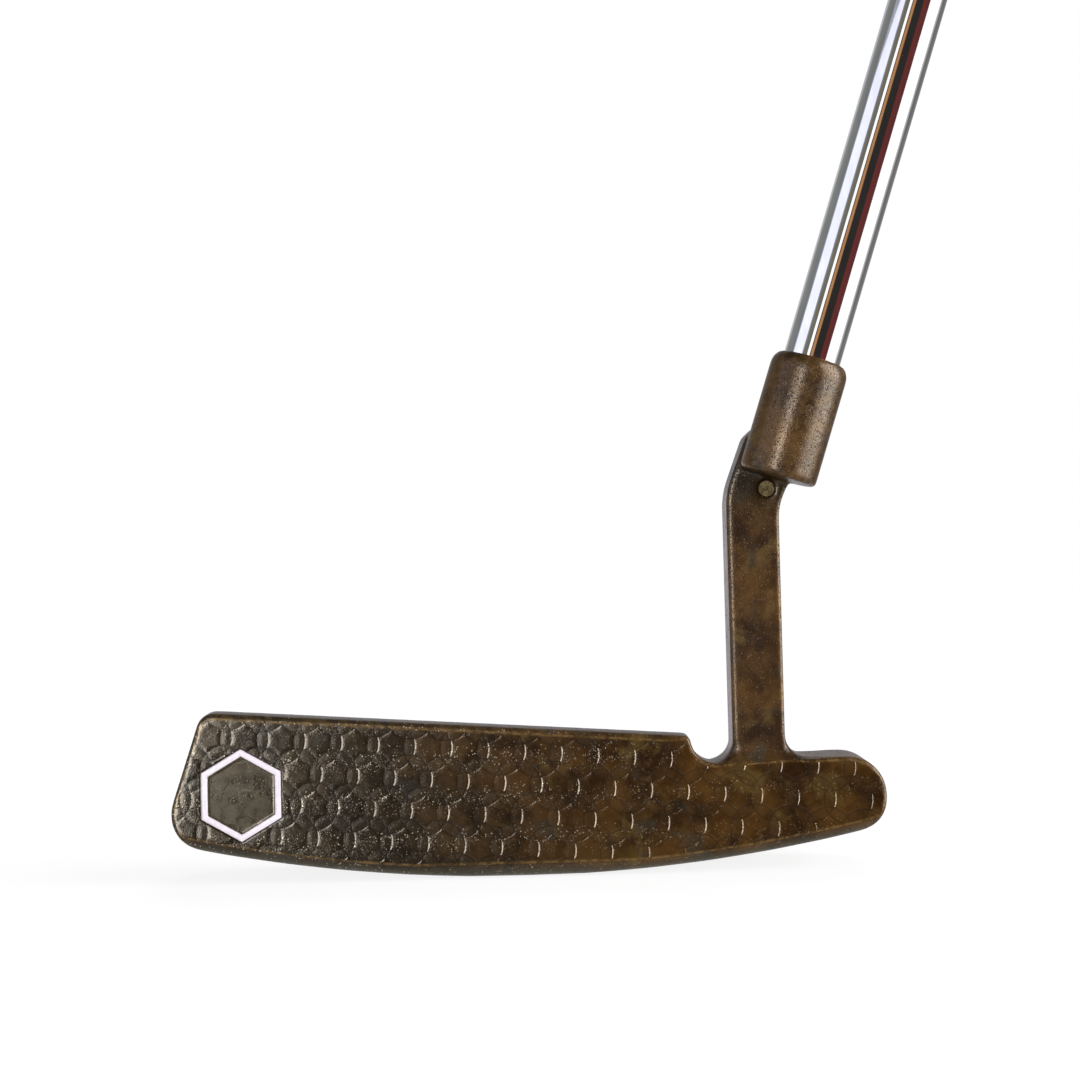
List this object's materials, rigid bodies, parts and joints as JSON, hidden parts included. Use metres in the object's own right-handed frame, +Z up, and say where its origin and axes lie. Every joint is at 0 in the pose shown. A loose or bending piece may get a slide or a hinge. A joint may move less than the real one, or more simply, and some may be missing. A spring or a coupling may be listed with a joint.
{
  "type": "blade putter",
  "caption": "Right-handed blade putter: cast bronze head with heel and toe weights and an offset neck, stepped steel shaft and pistol grip.",
  "frame": {"origin": "where the sole touches the ground at address, under the middle of the blade and halfway from its leading edge to the rear of the flange", "axes": "+X from toe to heel, -Y the way the ball leaves the face, +Z up, with the shaft at its lie angle"},
  "size_m": [0.37, 0.0345, 0.8486],
  "materials": {
    "bronze_patina": "aged brown patina, satin, worn to brass on the edges",
    "white_paint": "gloss enamel filled into a groove",
    "pin_brass": "dull brass",
    "chromed_steel": "polished chrome plate on steel",
    "adhesive": "cured epoxy",
    "tape": "double-sided paper tape",
    "grip_rubber": "matte moulded rubber with fine ribs",
    "cap_rubber": "smooth hard rubber"
  },
  "bodies": {
    "root": {"head": "bronze_patina", "badge_paint": "white_paint", "sight_line_paint": "white_paint", "neck_pin": "pin_brass", "shaft": "chromed_steel", "shaft_bond": "adhesive", "grip_tape": "tape", "grip": "grip_rubber", "grip_cap": "cap_rubber"}
  },
  "joints": []
}
